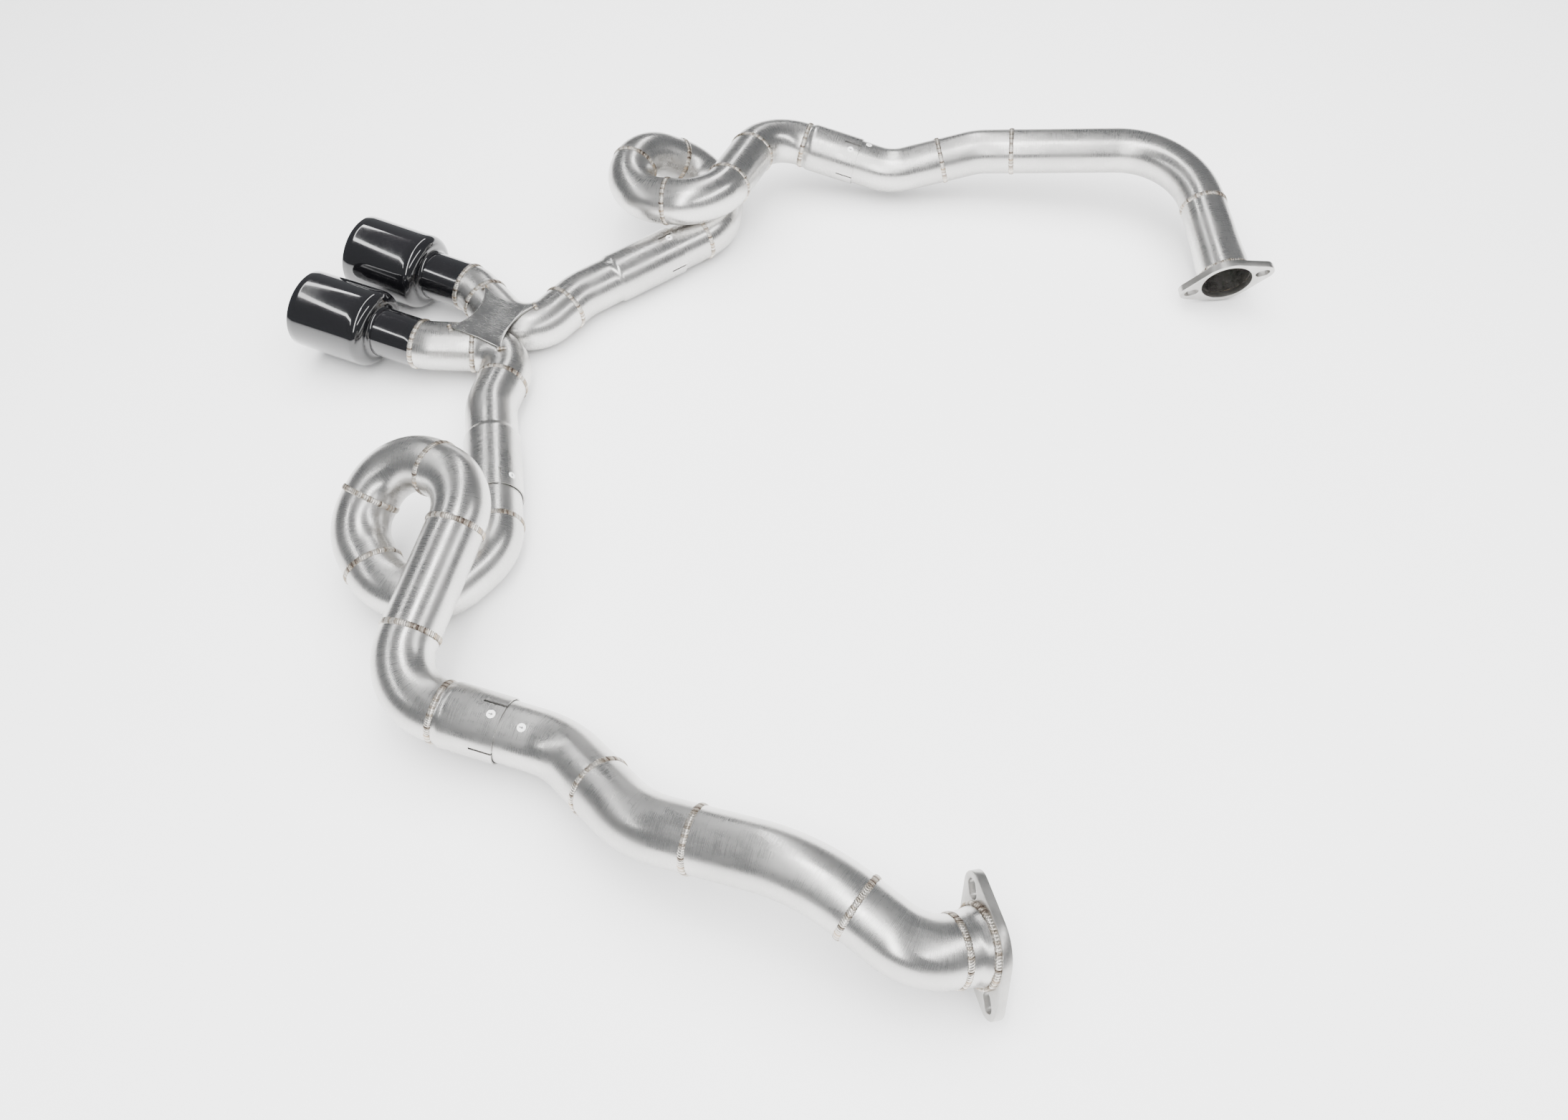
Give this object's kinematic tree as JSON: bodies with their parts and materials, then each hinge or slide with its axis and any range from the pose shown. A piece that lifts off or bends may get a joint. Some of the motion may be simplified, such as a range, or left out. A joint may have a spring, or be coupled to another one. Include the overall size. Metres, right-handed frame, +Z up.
{
  "type": "exhaust system",
  "caption": "Twin-inlet race exhaust of bent and welded steel tube: looped side pipes, crossed elbows under a gusset plate, gloss black round outlets and slip joints.",
  "frame": {"origin": "middle of the assembly's underside, where it lies on the floor", "axes": "+X to the near side, across the two pipe runs; +Y forward, from the outlets to the inlets; +Z up"},
  "size_m": [1.252, 1.1834, 0.1489],
  "materials": {
    "brushed_tube": "brushed stainless tube with ripple welds and straw heat tint",
    "gloss_black_tip": "deep gloss black",
    "flange_plate": "machined plate, fine ground face",
    "gusset_plate": "smooth cut plate, lightly brushed"
  },
  "bodies": {
    "centre_section": {"near_tip_shell": "gloss_black_tip", "near_tip_neck": "gloss_black_tip", "near_tip_bend": "brushed_tube", "near_crossing_elbow": "brushed_tube", "near_leg": "brushed_tube", "far_tip_shell": "gloss_black_tip", "far_tip_neck": "gloss_black_tip", "far_tip_bend": "brushed_tube", "far_crossing_elbow": "brushed_tube", "far_leg": "brushed_tube", "crossing_gusset": "gusset_plate"},
    "near_loop_section": {"near_loop_spigot": "brushed_tube", "near_loop_lower_pass": "brushed_tube", "near_loop_rear_bend": "brushed_tube", "near_loop_inner_bend": "brushed_tube", "near_loop_crest_bend": "brushed_tube", "near_loop_crossover": "brushed_tube", "near_loop_turn_out": "brushed_tube", "near_loop_sleeve": "brushed_tube"},
    "near_inlet_section": {"near_inlet_spigot": "brushed_tube", "near_inlet_sweep": "brushed_tube", "near_inlet_long_pipe": "brushed_tube", "near_inlet_last_bend": "brushed_tube", "near_inlet_collar": "brushed_tube", "near_inlet_flange": "flange_plate"},
    "far_loop_section": {"far_loop_spigot": "brushed_tube", "far_loop_lower_pass": "brushed_tube", "far_loop_rear_bend": "brushed_tube", "far_loop_inner_bend": "brushed_tube", "far_loop_crest_bend": "brushed_tube", "far_loop_crossover": "brushed_tube", "far_loop_turn_out": "brushed_tube", "far_loop_sleeve": "brushed_tube"},
    "far_inlet_section": {"far_inlet_spigot": "brushed_tube", "far_inlet_sweep": "brushed_tube", "far_inlet_long_pipe": "brushed_tube", "far_inlet_collar": "brushed_tube", "far_inlet_flange": "flange_plate"}
  },
  "joints": [
    {"name": "near_leg_slip", "type": "slide", "parent": "centre_section", "child": "near_loop_section", "axis": [0.8433, 0.5374, 0.0044], "range_m": [0, 0.045]},
    {"name": "near_inlet_slip", "type": "slide", "parent": "near_loop_section", "child": "near_inlet_section", "axis": [-0.0889, 0.9911, -0.0994], "range_m": [0, 0.04]},
    {"name": "far_leg_slip", "type": "slide", "parent": "centre_section", "child": "far_loop_section", "axis": [-0.8551, 0.5184, 0.0044], "range_m": [0, 0.045]},
    {"name": "far_inlet_slip", "type": "slide", "parent": "far_loop_section", "child": "far_inlet_section", "axis": [-0.1029, 0.9753, -0.1956], "range_m": [0, 0.04]}
  ]
}
